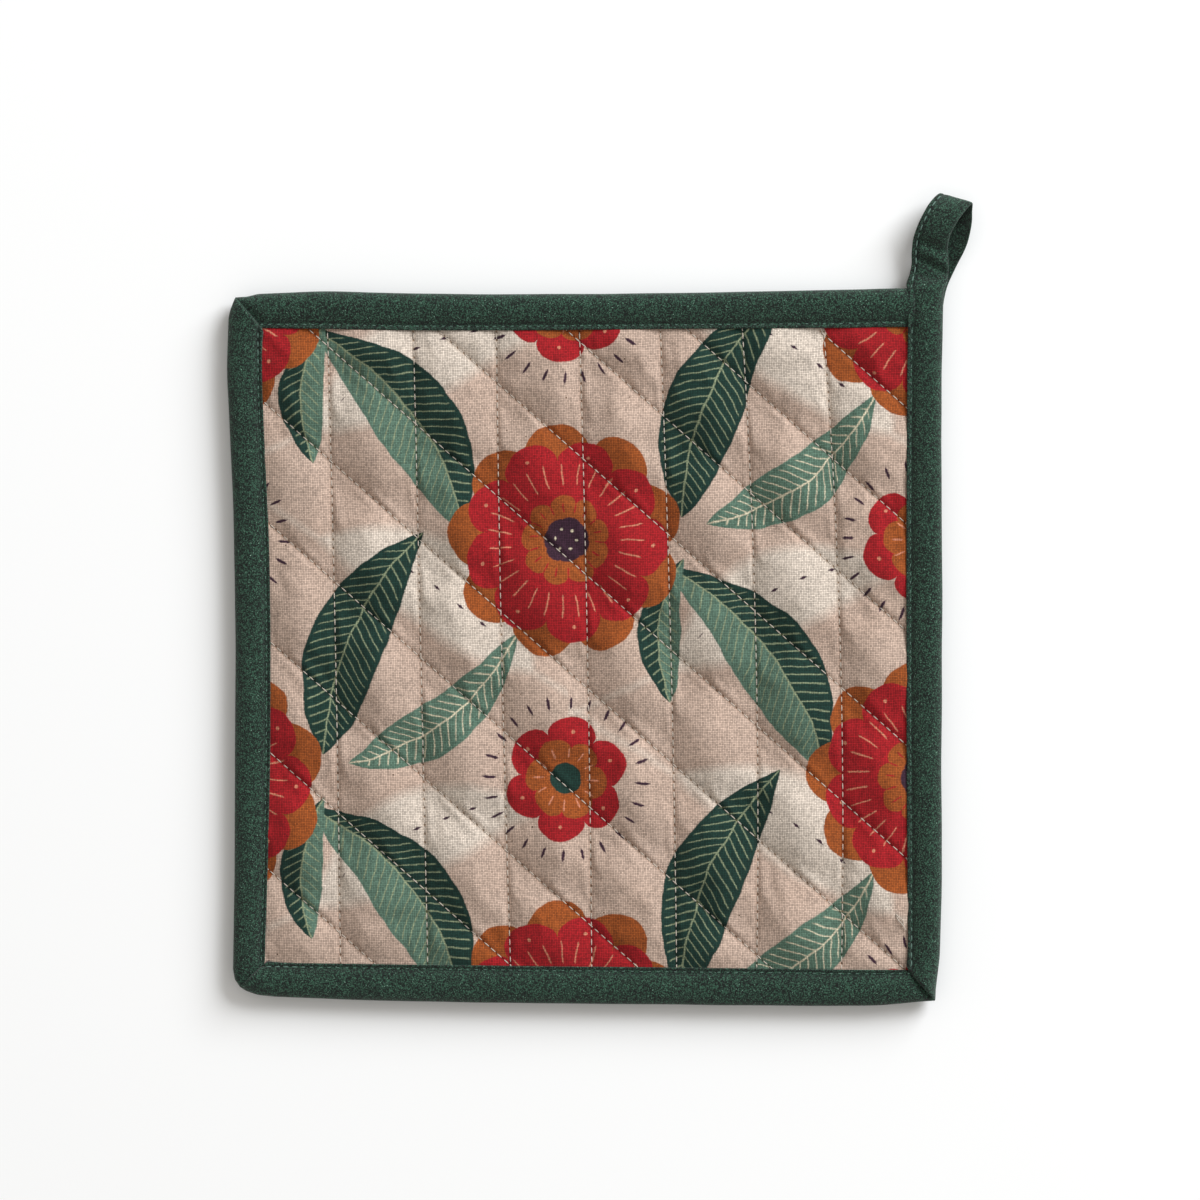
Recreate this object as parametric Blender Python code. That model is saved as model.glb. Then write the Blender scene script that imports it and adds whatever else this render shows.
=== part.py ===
"""A square quilted cotton pot holder with a folded cloth binding and a hanging loop.

Metres, +Z up. The pad lies on its back on z = 0 with its printed face up, and the
origin is on the ground under the middle of the whole thing, loop included. The
tables are in millimetres, and MM turns them into metres.
"""

import math

import bmesh
import bpy
from mathutils import Vector

MM = 0.001

# Heights above the ground, with the pad resting on the crowns of its back
CROWN_TOP = 8.0 * MM  # top of a filled cell
SEAM_TOP = 5.3 * MM  # bottom of a stitched channel in the face
SEAM_UNDER = 2.0 * MM  # top of a stitched channel in the back
EDGE_TOP, EDGE_UNDER = 5.15 * MM, 2.85 * MM  # the pad's edge, pressed flat in the binding

# Clearances and pinning
SHOWN_GAP = 0.4 * MM  # between the binding's inner edge and what shows of the pad
EDGE_INSET = 1.45 * MM  # from the binding's outside to the pad's cut edge
TUCKED_INSET = 2 * EDGE_INSET  # the same at the top right, where the strip turns into the loop
PINNED_WIDTH = 13.0 * MM  # the cells rise from the binding over this width
PINNED_RISE = 0.30  # share of a cell's height that stands right beside the binding

# The quilting. Seven seams run up the pad, each placed at three heights.
SEAM_HEIGHTS = (77.0, 0.0, -103.0)
UPRIGHT_SEAMS = (
    # x at each of the three heights, mm
    (-78.1, -76.1, -74.4),
    (-53.5, -51.7, -49.4),
    (-29.7, -28.5, -25.7),
    (-5.9, -3.9, -2.4),
    (17.3, 19.9, 21.9),
    (40.8, 44.3, 44.9),
    (64.1, 68.4, 69.2),
)
UPRIGHT_PITCH = 23.9  # mm, beyond the first and last seam
# Ten seams run down to the right: y where each one crosses x = 0, mm
SLANTED_SEAMS = (132.8, 99.5, 68.8, 36.1, 3.7, -28.5, -62.0, -95.6, -127.4, -161.3)
SLANT = 0.885  # fall of a slanted seam for each millimetre to the right
SLANTED_PITCH = 32.7  # mm, beyond the first and last seam
SPARE_CELLS = 2  # cells past the outer seams, cut off at the pad's outline
SEAM_PASSES = 6  # rounds it takes to settle where an upright and a slanted seam cross
FACE_STEPS = (0.0, 0.08, 0.28, 0.5, 0.72, 0.92)  # points across a cell of the face
BACK_STEPS = (0.0, 0.2, 0.8)  # points across a cell of the back
CROWN_FULLNESS = 0.55  # lower makes a squarer cell
PLUMPNESS = {"mean": 0.94, "swing": 0.06, "by_column": 2.3, "by_row": 3.7}  # cells differ a little
BACK_EDGE_HEIGHT = 1.2 * MM  # the back's cells beside the binding, not yet down on the ground

# The binding's outline, side by side, in the order in which the strip was sewn on.
# "along" is x on the top and bottom and y on the left and right.
SIDES = (
    {
        "name": "top",
        "inner_run": (88.0, -96.0),
        "rows": (  # along, outer edge, inner edge, mm
            (88.0, 90.6, 78.3),
            (84.5, 89.4, 78.3),
            (75.0, 89.1, 78.1),
            (50.0, 88.6, 77.9),
            (20.0, 88.0, 77.7),
            (-20.0, 87.7, 77.3),
            (-50.0, 87.8, 77.3),
            (-78.0, 88.6, 77.8),
            (-91.0, 88.1, 78.0),
        ),
    },
    {
        "name": "left",
        "inner_run": (77.0, -103.3),
        "rows": (
            (81.0, -106.6, -97.0),
            (66.0, -107.0, -96.9),
            (43.0, -105.9, -96.0),
            (20.0, -105.0, -94.9),
            (-10.0, -104.5, -94.4),
            (-45.0, -104.7, -94.5),
            (-80.0, -104.8, -95.3),
            (-106.0, -105.3, -96.1),
        ),
    },
    {
        "name": "bottom",
        "inner_run": (-95.2, 87.4),
        "rows": (
            (-92.0, -113.8, -104.0),
            (-75.0, -114.5, -104.2),
            (-50.0, -115.2, -104.5),
            (-20.0, -115.6, -104.9),
            (20.0, -116.0, -105.3),
            (60.0, -116.4, -105.7),
            (80.0, -116.3, -106.0),
            (92.5, -115.1, -106.0),
        ),
    },
    {
        "name": "right",
        "inner_run": (-105.2, 88.4),
        "rows": (
            (-112.0, 96.2, 88.3),
            (-102.0, 97.5, 88.3),
            (-80.0, 98.1, 88.1),
            (-50.0, 97.9, 87.9),
            (0.0, 98.2, 87.8),
            (40.0, 97.9, 87.9),
            (66.0, 98.0, 88.1),
            (77.0, 98.3, 88.3),
            (88.4, 98.6, 88.4),
        ),
    },
)
# Corners after the top, left and bottom sides: where the two edges would meet, mm
MITRES = (
    {"outer": (-106.9, 88.5), "inner": (-97.0, 78.0)},
    {"outer": (-105.6, -113.5), "inner": (-96.2, -104.2)},
    {"outer": (96.0, -115.3), "inner": (88.4, -106.0)},
)
MITRE_STEPS = (0.25, 0.5, 0.75)
MITRE_INNER_STEP = 0.4  # mm, keeps the inner points of a corner apart

# The binding's cross-section, round the folded strip
BINDING_SECTION = (
    # share of the width in from the outer edge, height above the ground in mm
    (1.00, 6.20),
    (0.86, 6.25),
    (0.62, 6.50),
    (0.30, 6.50),
    (0.13, 6.35),
    (0.04, 5.90),
    (0.00, 5.00),
    (0.00, 3.00),
    (0.04, 2.10),
    (0.13, 1.65),
    (0.30, 1.55),
    (0.86, 1.60),
    (1.00, 1.70),
    (1.00, 2.55),
    (0.10, 2.55),
    (0.10, 5.45),
    (1.00, 5.45),
)

# The loop: the middle of the tape's thickness at its two edges, from the corner up
# the front, over the far fold, and back under the corner, all in mm
LOOP_STATIONS = (
    # left x, y, z, right x, y, z, thickness
    (88.5, 88.8, 4.00, 98.5, 88.8, 4.00, 4.6),
    (88.4, 91.2, 4.10, 99.3, 90.6, 4.10, 3.6),
    (88.7, 95.0, 4.70, 99.7, 93.6, 4.60, 1.7),
    (89.0, 99.0, 5.60, 99.6, 98.0, 5.60, 1.4),
    (89.4, 102.8, 6.90, 99.5, 102.0, 6.90, 1.4),
    (90.7, 106.8, 7.70, 101.4, 105.2, 7.70, 1.4),
    (92.8, 110.8, 7.90, 104.2, 108.0, 7.90, 1.4),
    (95.0, 113.9, 7.00, 105.9, 110.8, 7.00, 1.3),
    (96.2, 116.0, 4.60, 106.5, 112.9, 4.60, 1.3),
    (96.0, 114.6, 1.90, 106.6, 111.3, 1.90, 1.2),
    (95.9, 110.6, 0.80, 106.3, 107.4, 0.80, 1.2),
    (94.4, 103.7, 0.64, 104.4, 100.6, 0.64, 1.2),
    (91.4, 96.4, 0.64, 101.6, 94.6, 0.64, 1.2),
    (88.9, 88.6, 0.64, 99.2, 88.0, 0.64, 1.2),
    (88.0, 76.5, 0.64, 98.0, 76.5, 0.64, 1.2),
)
LOOP_STEPS_PER_STATION = 2
LOOP_NUDGE = 0.25  # share of a step, to each side of a station, that gives the tape's direction
TAPE_EDGE = 0.35  # share of the thickness by which the tape's edges round over
TAPE_SIDE = 0.5  # share of the thickness that is left at the tape's very edge

COTTON = {"name": "natural_cotton", "colour": (0.61, 0.46, 0.35), "roughness": 0.92}
GREEN = {"name": "green_cotton", "colour": (0.022, 0.062, 0.046), "roughness": 0.88}


def clear_scene():
    for old in list(bpy.data.objects):
        bpy.data.objects.remove(old, do_unlink=True)


def cloth_material(finish):
    material = bpy.data.materials.new(finish["name"])
    material.use_nodes = True
    shader = material.node_tree.nodes["Principled BSDF"]
    shader.inputs["Base Color"].default_value = (*finish["colour"], 1.0)
    shader.inputs["Roughness"].default_value = finish["roughness"]
    shader.inputs["Metallic"].default_value = 0.0
    return material


def add_object(name, bm, finish=None):
    bmesh.ops.recalc_face_normals(bm, faces=bm.faces)
    mesh = bpy.data.meshes.new(name)
    bm.to_mesh(mesh)
    bm.free()
    obj = bpy.data.objects.new(name, mesh)
    bpy.context.scene.collection.objects.link(obj)
    if finish:
        mesh.materials.append(cloth_material(finish))
    return obj


def smooth_through(values, t):
    """A Catmull-Rom curve through evenly spaced vectors, with t from 0 to 1."""
    last = len(values) - 1
    place = min(max(t, 0.0), 1.0) * last
    i = min(int(place), last - 1)
    f = place - i
    before, start = values[max(i - 1, 0)], values[i]
    end, after = values[i + 1], values[min(i + 2, last)]
    return 0.5 * (
        2 * start
        + (end - before) * f
        + (2 * before - 5 * start + 4 * end - after) * f**2
        + (3 * start - before - 3 * end + after) * f**3
    )


# Outline -----------------------------------------------------------------------


def side_stations(side):
    """Pairs of an outer and an inner point along one side, in metres."""
    rows = side["rows"]
    first, last = rows[0][0], rows[-1][0]
    run_start, run_end = side["inner_run"]
    stations = []
    for along, outer, inner in rows:
        inner_along = run_start + (along - first) / (last - first) * (run_end - run_start)
        pair = [Vector((along, outer)), Vector((inner_along, inner))]
        if side["name"] in ("left", "right"):
            pair = [Vector((point.y, point.x)) for point in pair]
        stations.append(tuple(point * MM for point in pair))
    return stations


def mitre_stations(before, mitre, after):
    """Stations round a mitred corner, the outside rounded as a quadratic curve."""
    tip, inner = Vector(mitre["outer"]) * MM, Vector(mitre["inner"]) * MM
    stations = []
    for t in MITRE_STEPS:
        outer = before[0] * (1 - t) ** 2 + tip * 2 * t * (1 - t) + after[0] * t**2
        towards = (before[1] if t < 0.5 else after[1]) - inner
        step = 0.0 if t == 0.5 else MITRE_INNER_STEP * MM
        stations.append((outer, inner + towards.normalized() * step))
    return stations


def binding_stations():
    """The whole strip, from its tucked end along the top to the top of the right side."""
    sides = [side_stations(side) for side in SIDES]
    stations = list(sides[0])
    for mitre, following in zip(MITRES, sides[1:]):
        stations += mitre_stations(stations[-1], mitre, following[0])
        stations += following
    return stations


def pad_outlines(stations):
    """The pad's cut edge inside the binding, and the edge of what shows of it."""
    cut_edge, shown_edge = [], []
    for outer, inner in stations[1:-1]:
        inwards = (inner - outer).normalized()
        square = abs(inwards.x) + abs(inwards.y)  # 1 on a side, more across a mitre
        cut_edge.append(outer + inwards * EDGE_INSET * square)
        shown_edge.append(inner + inwards * SHOWN_GAP * square)
    right, top = stations[-2], stations[1]
    corner = Vector((right[0].x - EDGE_INSET, top[0].y - TUCKED_INSET))
    shown_corner = Vector((right[1].x - SHOWN_GAP, top[1].y - SHOWN_GAP))
    cut_edge.append(corner)
    shown_edge.append(shown_corner)
    return cut_edge, shown_edge


# Quilted panel -----------------------------------------------------------------


def upright_seam_x(number, y):
    """x of an upright seam at a height, numbered from 0 at the left, both in mm."""
    inside = min(max(number, 0), len(UPRIGHT_SEAMS) - 1)
    top, middle, bottom = UPRIGHT_SEAMS[inside]
    y_top, y_middle, y_bottom = SEAM_HEIGHTS
    x = (
        top * (y - y_middle) * (y - y_bottom) / ((y_top - y_middle) * (y_top - y_bottom))
        + middle * (y - y_top) * (y - y_bottom) / ((y_middle - y_top) * (y_middle - y_bottom))
        + bottom * (y - y_top) * (y - y_middle) / ((y_bottom - y_top) * (y_bottom - y_middle))
    )
    return x + (number - inside) * UPRIGHT_PITCH


def slanted_seam_y(number, x):
    """y of a slanted seam at a place across the pad, numbered from 0 at the top."""
    inside = min(max(number, 0), len(SLANTED_SEAMS) - 1)
    return SLANTED_SEAMS[inside] - (number - inside) * SLANTED_PITCH - SLANT * x


def cell_point(column, row):
    """The place in mm of a point given by fractional seam numbers."""
    left, above = math.floor(column), math.floor(row)
    x = y = 0.0
    for _ in range(SEAM_PASSES):
        x_left, x_right = upright_seam_x(left, y), upright_seam_x(left + 1, y)
        x = x_left + (column - left) * (x_right - x_left)
        y_above, y_below = slanted_seam_y(above, x), slanted_seam_y(above + 1, x)
        y = y_above + (row - above) * (y_below - y_above)
    return x, y


def pinned(point, border):
    """How far a cell has risen at a point: PINNED_RISE at the binding, 1 well inside."""
    nearest = PINNED_WIDTH
    for start, end in zip(border, border[1:] + border[:1]):
        along = end - start
        t = min(max((point - start).dot(along) / along.length_squared, 0.0), 1.0)
        nearest = min(nearest, (point - start - along * t).length)
    rise = math.sin(math.pi / 2 * nearest / PINNED_WIDTH)
    return PINNED_RISE + (1 - PINNED_RISE) * rise


def cell_fill(column, row):
    """The crown at a point, 0 on the seams and 1 in the middle of a cell."""
    across = math.sin(math.pi * (column - math.floor(column)))
    down = math.sin(math.pi * (row - math.floor(row)))
    phase = PLUMPNESS["by_column"] * math.floor(column) + PLUMPNESS["by_row"] * math.floor(row)
    plumpness = PLUMPNESS["mean"] + PLUMPNESS["swing"] * math.sin(phase)
    return plumpness * (max(across, 0.0) * max(down, 0.0)) ** CROWN_FULLNESS


def face_height(column, row, point, border):
    fill = cell_fill(column, row) * pinned(point, border)
    return SEAM_TOP + (CROWN_TOP - SEAM_TOP) * fill


def back_height(column, row, point, border):
    """The back is pressed flat on the ground between the seams."""
    on_seam = column == math.floor(column) or row == math.floor(row)
    if on_seam:
        return SEAM_UNDER
    deep_inside = pinned(point, border) == 1.0
    return 0.0 if deep_inside else BACK_EDGE_HEIGHT


def quilted_sheet(bm, steps, height, border):
    """A sheet whose edges run along the seams, wider than the pad on every side."""
    columns = range(-SPARE_CELLS, len(UPRIGHT_SEAMS) - 1 + SPARE_CELLS)
    rows = range(-SPARE_CELLS, len(SLANTED_SEAMS) - 1 + SPARE_CELLS)
    across = [column + step for column in columns for step in steps] + [columns[-1] + 1]
    down = [row + step for row in rows for step in steps] + [rows[-1] + 1]
    sheet = bmesh.ops.create_grid(
        bm, x_segments=len(across) - 1, y_segments=len(down) - 1, size=0.5
    )["verts"]
    for vert in sheet:
        column = across[round((vert.co.x + 0.5) * (len(across) - 1))]
        row = down[round((vert.co.y + 0.5) * (len(down) - 1))]
        x, y = cell_point(column, row)
        flat = Vector((x * MM, y * MM))
        vert.co = (*flat, height(column, row, flat, border))
    return {edge for vert in sheet for edge in vert.link_edges if edge.is_boundary}


def stepped_cutter(cut_edge, shown_edge):
    """What is left of the quilting: a thin rim inside the binding, all inside it."""
    over, under = 2 * CROWN_TOP, -CROWN_TOP
    levels = (
        (shown_edge, under),
        (shown_edge, EDGE_UNDER),
        (cut_edge, EDGE_UNDER),
        (cut_edge, EDGE_TOP),
        (shown_edge, EDGE_TOP),
        (shown_edge, over),
    )
    bm = bmesh.new()
    rings = [[bm.verts.new((*point, z)) for point in outline] for outline, z in levels]
    for lower, upper in zip(rings, rings[1:]):
        for i, vert in enumerate(lower):
            bm.faces.new((lower[i - 1], vert, upper[i], upper[i - 1]))
    bm.faces.new(rings[0])
    bm.faces.new(rings[-1])
    cutter = add_object("panel_outline", bm)
    cutter.hide_render = True
    cutter.display_type = "WIRE"
    return cutter


def make_quilted_panel(stations):
    cut_edge, shown_edge = pad_outlines(stations)
    bm = bmesh.new()
    face_rim = quilted_sheet(bm, FACE_STEPS, face_height, shown_edge)
    back_rim = quilted_sheet(bm, BACK_STEPS, back_height, shown_edge)
    bmesh.ops.bridge_loops(bm, edges=list(face_rim | back_rim))
    panel = add_object("quilted_panel", bm, COTTON)
    trim = panel.modifiers.new("outline", "BOOLEAN")
    trim.operation = "INTERSECT"
    trim.solver = "MANIFOLD"  # the exact solver returns nothing for these two
    trim.object = stepped_cutter(cut_edge, shown_edge)
    return panel


# Binding and loop --------------------------------------------------------------


def lofted(rings):
    """A closed solid through rings of the same number of points."""
    bm = bmesh.new()
    loops = [[bm.verts.new(point) for point in ring] for ring in rings]
    for one, other in zip(loops, loops[1:]):
        for i, vert in enumerate(one):
            bm.faces.new((one[i - 1], vert, other[i], other[i - 1]))
    bm.faces.new(loops[0])
    bm.faces.new(loops[-1])
    return bm


def make_edge_binding(stations):
    rings = [
        [(*outer.lerp(inner, share), z * MM) for share, z in BINDING_SECTION]
        for outer, inner in stations
    ]
    return add_object("edge_binding", lofted(rings), GREEN)


def make_hanging_loop():
    rows = [
        (Vector(row[0:3]) * MM, Vector(row[3:6]) * MM, Vector((row[6] * MM, 0, 0)))
        for row in LOOP_STATIONS
    ]
    lefts, rights, thicknesses = zip(*rows)
    count = (len(LOOP_STATIONS) - 1) * LOOP_STEPS_PER_STATION
    rings = []
    for i in range(count + 1):
        t, nudge = i / count, LOOP_NUDGE / count
        left, right = smooth_through(lefts, t), smooth_through(rights, t)
        thickness = smooth_through(thicknesses, t).x
        across = (right - left).normalized()
        run = (
            smooth_through(lefts, t + nudge)
            + smooth_through(rights, t + nudge)
            - smooth_through(lefts, t - nudge)
            - smooth_through(rights, t - nudge)
        )
        half = across.cross(run).normalized() * thickness / 2
        rounding = across * thickness * TAPE_EDGE
        rings.append(
            (
                left + half * TAPE_SIDE,
                left + rounding + half,
                left.lerp(right, 0.5) + half,
                right - rounding + half,
                right + half * TAPE_SIDE,
                right - half * TAPE_SIDE,
                right - rounding - half,
                left.lerp(right, 0.5) - half,
                left + rounding - half,
                left - half * TAPE_SIDE,
            )
        )
    return add_object("hanging_loop", lofted(rings), GREEN)


clear_scene()
strip = binding_stations()
make_quilted_panel(strip)
make_edge_binding(strip)
make_hanging_loop()
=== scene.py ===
import math

import bmesh
import bpy
import numpy as np
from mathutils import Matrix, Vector, noise
from mathutils.bvhtree import BVHTree


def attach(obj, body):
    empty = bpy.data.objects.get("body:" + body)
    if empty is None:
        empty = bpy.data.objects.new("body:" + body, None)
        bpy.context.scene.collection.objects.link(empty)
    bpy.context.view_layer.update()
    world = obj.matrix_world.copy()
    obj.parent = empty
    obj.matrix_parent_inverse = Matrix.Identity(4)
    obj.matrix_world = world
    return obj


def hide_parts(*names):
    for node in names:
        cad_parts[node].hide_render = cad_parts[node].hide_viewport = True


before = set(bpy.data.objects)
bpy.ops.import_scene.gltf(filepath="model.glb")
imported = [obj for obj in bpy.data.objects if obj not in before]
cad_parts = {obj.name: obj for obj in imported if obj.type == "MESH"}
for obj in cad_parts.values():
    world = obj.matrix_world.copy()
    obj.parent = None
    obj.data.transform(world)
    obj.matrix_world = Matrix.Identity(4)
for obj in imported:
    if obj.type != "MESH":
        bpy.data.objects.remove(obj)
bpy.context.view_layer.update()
mm = 0.001
clothMiddle = 125.0  # mm, where the object's middle lies on the map of its flat cloth
print("frame loaded:", sorted(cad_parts))


# a shader socket that can be added, multiplied and compared
class Wire:
    def __init__(self, tree, socket=None):
        self.tree = tree
        self.socket = socket

    # any node: its settings are set first, then the values or links of its sockets
    def node(self, kind, settings=None, inputs=None, out=0):
        made = self.tree.nodes.new(kind)
        for key, value in (settings or {}).items():
            setattr(made, key, value)
        for key, value in (inputs or {}).items():
            if isinstance(value, Wire):
                self.tree.links.new(value.socket, made.inputs[key])
            else:
                made.inputs[key].default_value = value
        return Wire(self.tree, made.outputs[out])

    def maths(self, operation, *values):
        return self.node("ShaderNodeMath", {"operation": operation}, dict(enumerate(values)))

    def __add__(self, other):
        return self.maths("ADD", self, other)

    def __sub__(self, other):
        return self.maths("SUBTRACT", self, other)

    def __rsub__(self, other):
        return self.maths("SUBTRACT", other, self)

    def __mul__(self, other):
        return self.maths("MULTIPLY", self, other)

    def __truediv__(self, other):
        return self.maths("DIVIDE", self, other)

    def __pow__(self, other):
        return self.maths("POWER", self, other)

    __radd__ = __add__
    __rmul__ = __mul__

    def size(self):
        return self.maths("ABSOLUTE", self)

    def sine(self):
        return self.maths("SINE", self)

    def nearest(self):
        return self.maths("ROUND", self)

    def atLeast(self, other):
        return self.maths("MAXIMUM", self, other)

    def atMost(self, other):
        return self.maths("MINIMUM", self, other)

    # 0 where the value is under zero, 1 where it is over, soft over a width each way
    def edge(self, width):
        return self.node("ShaderNodeMapRange", None, {0: self, 1: -width, 2: width})

    def part(self, axis):
        return self.node("ShaderNodeSeparateXYZ", None, {0: self}, axis)

    def joined(self, other):
        return self.node("ShaderNodeCombineXYZ", None, {0: self, 1: other})

    def vector(self, operation, *others):
        inputs = dict(enumerate((self, *others)))
        return self.node("ShaderNodeVectorMath", {"operation": operation}, inputs)

    # as a mask: the first colour where it is 0, the second where it is 1
    def between(self, first, second):
        return self.node("ShaderNodeMix", {"data_type": "RGBA"}, {0: self, 6: first, 7: second}, 2)

    # as a colour: made lighter or darker by a number
    def shaded(self, amount):
        settings = {"data_type": "RGBA", "blend_type": "MULTIPLY"}
        return self.node("ShaderNodeMix", settings, {0: 1.0, 6: self, 7: amount}, 2)

    def noise(self, scale, detail=2.0, out=0):
        return self.node("ShaderNodeTexNoise", None, {0: self, 2: scale, 3: detail}, out)


def newMaterial(name):
    material = bpy.data.materials.new(name)
    material.use_nodes = True
    material.node_tree.nodes.clear()
    return material, Wire(material.node_tree)


def finishMaterial(start, inputs):
    shader = start.node("ShaderNodeBsdfPrincipled", None, inputs)
    output = start.tree.nodes.new("ShaderNodeOutputMaterial")
    start.tree.links.new(shader.socket, output.inputs["Surface"])


# cloth or thread, with a relief in mm
def finishCloth(start, colour, relief, values):
    look = {
        "Base Color": colour,
        "Roughness": values["roughness"],
        "Sheen Weight": values["sheen"],
        "Sheen Roughness": values["sheenRoughness"],
        "Specular IOR Level": values["specular"],
        "Normal": start.node("ShaderNodeBump", None, {0: 1.0, 1: mm, 3: relief}),
    }
    finishMaterial(start, look)


def smoothStep(t):
    t = np.clip(t, 0.0, 1.0)
    return t * t * (3 - 2 * t)


def addObject(name, data):
    made = bpy.data.objects.new(name, data)
    bpy.context.scene.collection.objects.link(made)
    return made


# each finished piece sits at the origin, with its place in its mesh
def addPiece(name, bm, *materials):
    mesh = bpy.data.meshes.new(name)
    bm.to_mesh(mesh)
    bm.free()
    for material in materials:
        mesh.materials.append(material)
    mesh.shade_smooth()
    return addObject(name, mesh)


# the mesh as the modifiers make it, with the modifiers taken off
def applyModifiers(piece):
    bpy.context.view_layer.update()
    evaluated = piece.evaluated_get(bpy.context.evaluated_depsgraph_get())
    made = bpy.data.meshes.new_from_object(evaluated)
    old = piece.data
    piece.modifiers.clear()
    piece.data = made
    bpy.data.meshes.remove(old)


# where a grid's vertex stands, counted in steps along each of the grid's sides
def gridStep(vert, across, down):
    return round((vert.co.x + 0.5) * across), round((vert.co.y + 0.5) * down)


# writes each vertex's places on the maps of these names
def writeMaps(bm, names, places):
    layers = [bm.loops.layers.uv.new(name) for name in names]
    for corner in (corner for face in bm.faces for corner in face.loops):
        for layer, place in zip(layers, places[corner.vert]):
            corner[layer].uv = place


# turns the faces outwards, and says whether the mesh is closed all round
def closeUp(bm, name):
    bmesh.ops.recalc_face_normals(bm, faces=bm.faces)
    print("open edges of the", name + ":", sum(not edge.is_manifold for edge in bm.edges))


def pointsOf(mesh):
    flat = np.zeros(len(mesh.vertices) * 3, np.float32)
    mesh.vertices.foreach_get("co", flat)
    return flat.reshape(-1, 3).astype(float)


def movePoints(mesh, places):
    mesh.vertices.foreach_set("co", places.astype(np.float32).ravel())
    mesh.update()


# camera, floor and light
studio = {
    "photoPixels": 1200,
    "mmPerPixel": 0.2866,
    "lens": 180.0,
    "sensor": 36.0,
    "seesTo": 20.0,  # m
    "lookHeight": 4.0,  # mm above the floor, where the photo's scale holds
    "keyFrom": (0.62, 0.60, 0.52),
    "keyDistance": 4.0,  # m
    "keySize": 2.4,
    "keyPower": 200.0,
    "keyColour": (0.97, 1.0, 1.03),
    "roomLight": 0.49,
    "roomColour": (1.03, 1.0, 0.955, 1.0),
    "floorSize": 4.0,  # m, each way from the middle
    "floorGap": 0.1,  # mm under the object
    "floorColour": (0.94, 0.94, 0.94, 1.0),
    "floorRoughness": 0.9,
}


def makeStudio(values):
    scene = bpy.context.scene
    scene.view_settings.view_transform = "Standard"
    width = values["photoPixels"] * values["mmPerPixel"] * mm
    lens = bpy.data.cameras.new("camera")
    lens.lens, lens.sensor_width = values["lens"], values["sensor"]
    lens.clip_end = values["seesTo"]
    camera = addObject("camera", lens)
    camera.location.z = width * values["lens"] / values["sensor"] + values["lookHeight"] * mm
    scene.camera = camera

    bm = bmesh.new()
    bmesh.ops.create_grid(bm, x_segments=1, y_segments=1, size=values["floorSize"])
    bmesh.ops.translate(bm, verts=bm.verts, vec=(0, 0, -values["floorGap"] * mm))
    paleFloor, start = newMaterial("paleFloor")
    look = {"Base Color": values["floorColour"], "Roughness": values["floorRoughness"]}
    finishMaterial(start, look)
    addPiece("floor", bm, paleFloor)

    direction = Vector(values["keyFrom"]).normalized()
    lamp = bpy.data.lights.new("keyLight", "AREA")
    lamp.energy, lamp.size, lamp.color = values["keyPower"], values["keySize"], values["keyColour"]
    key = addObject("keyLight", lamp)
    key.location = direction * values["keyDistance"]
    key.rotation_euler = direction.to_track_quat("Z", "Y").to_euler()

    world = bpy.data.worlds.new("softRoom")
    scene.world = world
    world.use_nodes = True
    room = world.node_tree.nodes["Background"].inputs
    room["Color"].default_value = values["roomColour"]
    room["Strength"].default_value = values["roomLight"]
    print("studio ready")


makeStudio(studio)


# where the binding's two edges run, read from the frame, in mm
corners = {  # the inner corner, the mitre's way out, and its end where the corner is sharp
    "topLeft": {"inner": (-97.0, 78.0), "towards": (-1.0, 0.95), "end": (-104.4, 86.6)},
    "bottomLeft": {"inner": (-96.2, -104.2), "towards": (-1.0, -0.95), "end": None},
    "bottomRight": {"inner": (88.4, -106.0), "towards": (1.0, -1.0), "end": (95.9, -114.7)},
    "topRight": {"inner": (88.4, 78.3), "towards": (1.0, 1.0), "end": None},
}
sides = (  # in the order in which the strip was sewn on
    {"out": (0, 1), "start": 90.2, "end": "topLeft", "inner": (86.5, -95.5), "readTo": 80.5},
    {"out": (-1, 0), "start": "topLeft", "end": "bottomLeft", "inner": (76.5, -102.5)},
    {"out": (0, -1), "start": "bottomLeft", "end": "bottomRight", "inner": (-94.5, 86.8)},
    {"out": (1, 0), "start": "bottomRight", "end": 88.4, "inner": (-104.3, 76.0), "readTo": 88.0},
)
edgeReading = {  # mm
    "rays": {  # how far out they start, the way they go, and their height over the ground
        "outer": (150.0, -1, 4.0),
        "inner": (50.0, 1, 5.8),
    },
    "pastCorner": 30.0,  # how far past a corner, across, its own ray starts
    "step": 1.5,
    "margin": 0.3,  # left out at each end of an outer edge
    "blur": 7.0,
    "blurFrom": 5.6,  # from a side's end
    "blurOver": 14.0,
    "sharpEnds": 2.6,  # a straight run beside a sharp corner
    "inset": 0.2,  # for the cloth's thickness
}
bindingTree = BVHTree.FromObject(
    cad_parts["edge_binding"], bpy.context.evaluated_depsgraph_get()
)


def bindingHit(origin, direction, height):
    start = Vector((origin.x, origin.y, height)) * mm
    return bindingTree.ray_cast(start, Vector((direction.x, direction.y, 0.0)))[0].xy / mm


# where the binding's outside crosses a mitre's line
def outerCorner(corner):
    inner, towards = Vector(corner["inner"]), Vector(corner["towards"])
    height = edgeReading["rays"]["outer"][2]
    return bindingHit(inner + towards * edgeReading["pastCorner"], -towards, height)


# an end of a side's edge: a point at a corner, or else only how far along it lies
def edgeEnd(end, which):
    if end not in corners:
        return end
    corner = corners[end]
    if which == "inner":
        return Vector(corner["inner"])
    return Vector(corner["end"] or outerCorner(corner))


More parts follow.
